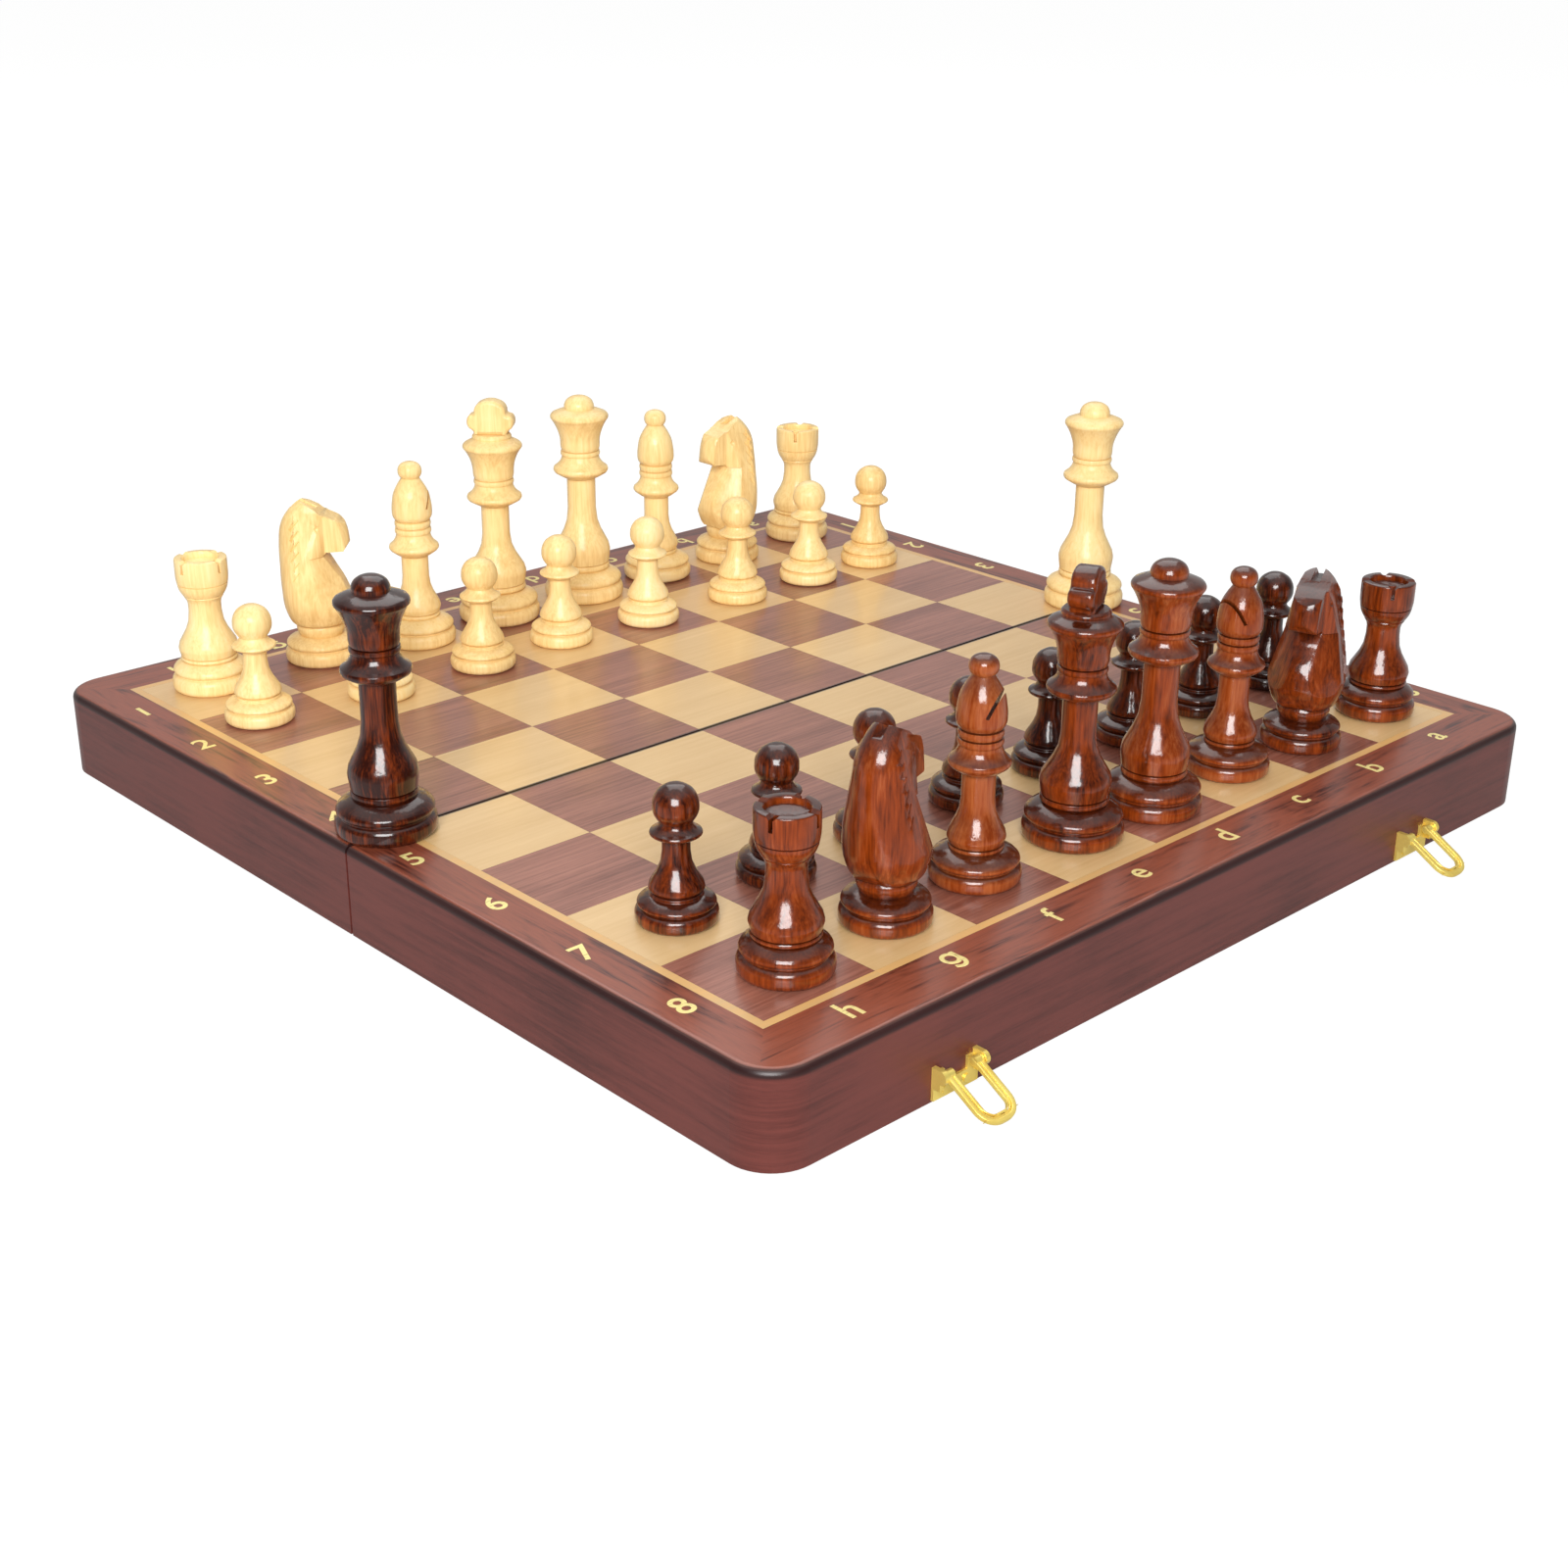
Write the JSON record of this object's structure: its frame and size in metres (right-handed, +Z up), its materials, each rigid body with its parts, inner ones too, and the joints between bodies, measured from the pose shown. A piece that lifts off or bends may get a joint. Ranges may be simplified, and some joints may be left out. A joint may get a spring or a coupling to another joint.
{
  "type": "folding chess set with board",
  "caption": "Folding wooden box board with inlaid squares, brass hinges and bail latches, set up with turned light and dark chess pieces and a spare queen for each side.",
  "frame": {"origin": "on the table under the middle of the fold line, with the board open", "axes": "+Z up, +X along the fold from the h file to the a file, +Y from the black end to the white end"},
  "size_m": [0.382, 0.4152, 0.1226],
  "materials": {
    "panel_core": "satin",
    "border_veneer": "satin",
    "inlay": "satin",
    "dark_veneer": "satin",
    "light_veneer": "satin",
    "rail": "satin",
    "brass": "polished",
    "light_piece": "satin",
    "dark_piece": "gloss"
  },
  "bodies": {
    "white_half": {"white_half_panel": "panel_core", "white_half_border_veneer": "border_veneer", "white_half_inlay_line": "inlay", "white_half_dark_squares": "dark_veneer", "white_half_light_squares": "light_veneer", "white_half_end_rail": "rail", "white_half_side_rails": "rail", "white_half_fold_rail": "rail", "white_half_nails": "brass", "white_hinge_leaves": "brass", "hinge_pins": "brass", "latch_keepers": "brass"},
    "black_half": {"black_half_panel": "panel_core", "black_half_border_veneer": "border_veneer", "black_half_inlay_line": "inlay", "black_half_dark_squares": "dark_veneer", "black_half_light_squares": "light_veneer", "black_half_end_rail": "rail", "black_half_side_rails": "rail", "black_half_fold_rail": "rail", "black_half_nails": "brass", "black_hinge_leaves": "brass", "latch_plates": "brass"},
    "left_bail": {"latch_bail_left": "brass"},
    "right_bail": {"latch_bail_right": "brass"},
    "white_rook_a": {"white_rook_a": "light_piece"},
    "white_pawn_a": {"white_pawn_a": "light_piece"},
    "white_knight_b": {"white_knight_b": "light_piece"},
    "white_pawn_b": {"white_pawn_b": "light_piece"},
    "white_bishop_c": {"white_bishop_c": "light_piece"},
    "white_pawn_c": {"white_pawn_c": "light_piece"},
    "white_queen": {"white_queen": "light_piece"},
    "white_pawn_d": {"white_pawn_d": "light_piece"},
    "white_king": {"white_king": "light_piece"},
    "white_pawn_e": {"white_pawn_e": "light_piece"},
    "white_bishop_f": {"white_bishop_f": "light_piece"},
    "white_pawn_f": {"white_pawn_f": "light_piece"},
    "white_knight_g": {"white_knight_g": "light_piece"},
    "white_pawn_g": {"white_pawn_g": "light_piece"},
    "white_rook_h": {"white_rook_h": "light_piece"},
    "white_pawn_h": {"white_pawn_h": "light_piece"},
    "white_spare_queen": {"white_spare_queen": "light_piece"},
    "black_rook_a": {"black_rook_a": "dark_piece"},
    "black_pawn_a": {"black_pawn_a": "dark_piece"},
    "black_knight_b": {"black_knight_b": "dark_piece"},
    "black_pawn_b": {"black_pawn_b": "dark_piece"},
    "black_bishop_c": {"black_bishop_c": "dark_piece"},
    "black_pawn_c": {"black_pawn_c": "dark_piece"},
    "black_queen": {"black_queen": "dark_piece"},
    "black_pawn_d": {"black_pawn_d": "dark_piece"},
    "black_king": {"black_king": "dark_piece"},
    "black_pawn_e": {"black_pawn_e": "dark_piece"},
    "black_bishop_f": {"black_bishop_f": "dark_piece"},
    "black_pawn_f": {"black_pawn_f": "dark_piece"},
    "black_knight_g": {"black_knight_g": "dark_piece"},
    "black_pawn_g": {"black_pawn_g": "dark_piece"},
    "black_rook_h": {"black_rook_h": "dark_piece"},
    "black_pawn_h": {"black_pawn_h": "dark_piece"},
    "black_spare_queen": {"black_spare_queen": "dark_piece"}
  },
  "joints": [
    {"name": "fold", "type": "hinge", "parent": "white_half", "child": "black_half", "pos_m": [0, 0, 0.0015], "axis": [1, 0, 0], "range_deg": [0, 180]},
    {"name": "left_bail_swing", "type": "hinge", "parent": "black_half", "child": "left_bail", "pos_m": [-0.1202, -0.1982, 0.0106], "axis": [1, 0, 0], "range_deg": [-110, 60]},
    {"name": "right_bail_swing", "type": "hinge", "parent": "black_half", "child": "right_bail", "pos_m": [0.1138, -0.1982, 0.0106], "axis": [1, 0, 0], "range_deg": [-110, 60]},
    {"name": "white_rook_a_lift", "type": "slide", "parent": "white_half", "child": "white_rook_a", "axis": [0, 0, 1], "range_m": [0, 0.12]},
    {"name": "white_pawn_a_lift", "type": "slide", "parent": "white_half", "child": "white_pawn_a", "axis": [0, 0, 1], "range_m": [0, 0.12]},
    {"name": "white_knight_b_lift", "type": "slide", "parent": "white_half", "child": "white_knight_b", "axis": [0, 0, 1], "range_m": [0, 0.12]},
    {"name": "white_pawn_b_lift", "type": "slide", "parent": "white_half", "child": "white_pawn_b", "axis": [0, 0, 1], "range_m": [0, 0.12]},
    {"name": "white_bishop_c_lift", "type": "slide", "parent": "white_half", "child": "white_bishop_c", "axis": [0, 0, 1], "range_m": [0, 0.12]},
    {"name": "white_pawn_c_lift", "type": "slide", "parent": "white_half", "child": "white_pawn_c", "axis": [0, 0, 1], "range_m": [0, 0.12]},
    {"name": "white_queen_lift", "type": "slide", "parent": "white_half", "child": "white_queen", "axis": [0, 0, 1], "range_m": [0, 0.12]},
    {"name": "white_pawn_d_lift", "type": "slide", "parent": "white_half", "child": "white_pawn_d", "axis": [0, 0, 1], "range_m": [0, 0.12]},
    {"name": "white_king_lift", "type": "slide", "parent": "white_half", "child": "white_king", "axis": [0, 0, 1], "range_m": [0, 0.12]},
    {"name": "white_pawn_e_lift", "type": "slide", "parent": "white_half", "child": "white_pawn_e", "axis": [0, 0, 1], "range_m": [0, 0.12]},
    {"name": "white_bishop_f_lift", "type": "slide", "parent": "white_half", "child": "white_bishop_f", "axis": [0, 0, 1], "range_m": [0, 0.12]},
    {"name": "white_pawn_f_lift", "type": "slide", "parent": "white_half", "child": "white_pawn_f", "axis": [0, 0, 1], "range_m": [0, 0.12]},
    {"name": "white_knight_g_lift", "type": "slide", "parent": "white_half", "child": "white_knight_g", "axis": [0, 0, 1], "range_m": [0, 0.12]},
    {"name": "white_pawn_g_lift", "type": "slide", "parent": "white_half", "child": "white_pawn_g", "axis": [0, 0, 1], "range_m": [0, 0.12]},
    {"name": "white_rook_h_lift", "type": "slide", "parent": "white_half", "child": "white_rook_h", "axis": [0, 0, 1], "range_m": [0, 0.12]},
    {"name": "white_pawn_h_lift", "type": "slide", "parent": "white_half", "child": "white_pawn_h", "axis": [0, 0, 1], "range_m": [0, 0.12]},
    {"name": "white_spare_queen_lift", "type": "slide", "parent": "white_half", "child": "white_spare_queen", "axis": [0, 0, 1], "range_m": [0, 0.12]},
    {"name": "black_rook_a_lift", "type": "slide", "parent": "black_half", "child": "black_rook_a", "axis": [0, 0, 1], "range_m": [0, 0.12]},
    {"name": "black_pawn_a_lift", "type": "slide", "parent": "black_half", "child": "black_pawn_a", "axis": [0, 0, 1], "range_m": [0, 0.12]},
    {"name": "black_knight_b_lift", "type": "slide", "parent": "black_half", "child": "black_knight_b", "axis": [0, 0, 1], "range_m": [0, 0.12]},
    {"name": "black_pawn_b_lift", "type": "slide", "parent": "black_half", "child": "black_pawn_b", "axis": [0, 0, 1], "range_m": [0, 0.12]},
    {"name": "black_bishop_c_lift", "type": "slide", "parent": "black_half", "child": "black_bishop_c", "axis": [0, 0, 1], "range_m": [0, 0.12]},
    {"name": "black_pawn_c_lift", "type": "slide", "parent": "black_half", "child": "black_pawn_c", "axis": [0, 0, 1], "range_m": [0, 0.12]},
    {"name": "black_queen_lift", "type": "slide", "parent": "black_half", "child": "black_queen", "axis": [0, 0, 1], "range_m": [0, 0.12]},
    {"name": "black_pawn_d_lift", "type": "slide", "parent": "black_half", "child": "black_pawn_d", "axis": [0, 0, 1], "range_m": [0, 0.12]},
    {"name": "black_king_lift", "type": "slide", "parent": "black_half", "child": "black_king", "axis": [0, 0, 1], "range_m": [0, 0.12]},
    {"name": "black_pawn_e_lift", "type": "slide", "parent": "black_half", "child": "black_pawn_e", "axis": [0, 0, 1], "range_m": [0, 0.12]},
    {"name": "black_bishop_f_lift", "type": "slide", "parent": "black_half", "child": "black_bishop_f", "axis": [0, 0, 1], "range_m": [0, 0.12]},
    {"name": "black_pawn_f_lift", "type": "slide", "parent": "black_half", "child": "black_pawn_f", "axis": [0, 0, 1], "range_m": [0, 0.12]},
    {"name": "black_knight_g_lift", "type": "slide", "parent": "black_half", "child": "black_knight_g", "axis": [0, 0, 1], "range_m": [0, 0.12]},
    {"name": "black_pawn_g_lift", "type": "slide", "parent": "black_half", "child": "black_pawn_g", "axis": [0, 0, 1], "range_m": [0, 0.12]},
    {"name": "black_rook_h_lift", "type": "slide", "parent": "black_half", "child": "black_rook_h", "axis": [0, 0, 1], "range_m": [0, 0.12]},
    {"name": "black_pawn_h_lift", "type": "slide", "parent": "black_half", "child": "black_pawn_h", "axis": [0, 0, 1], "range_m": [0, 0.12]},
    {"name": "black_spare_queen_lift", "type": "slide", "parent": "white_half", "child": "black_spare_queen", "axis": [0, 0, 1], "range_m": [0, 0.12]}
  ]
}
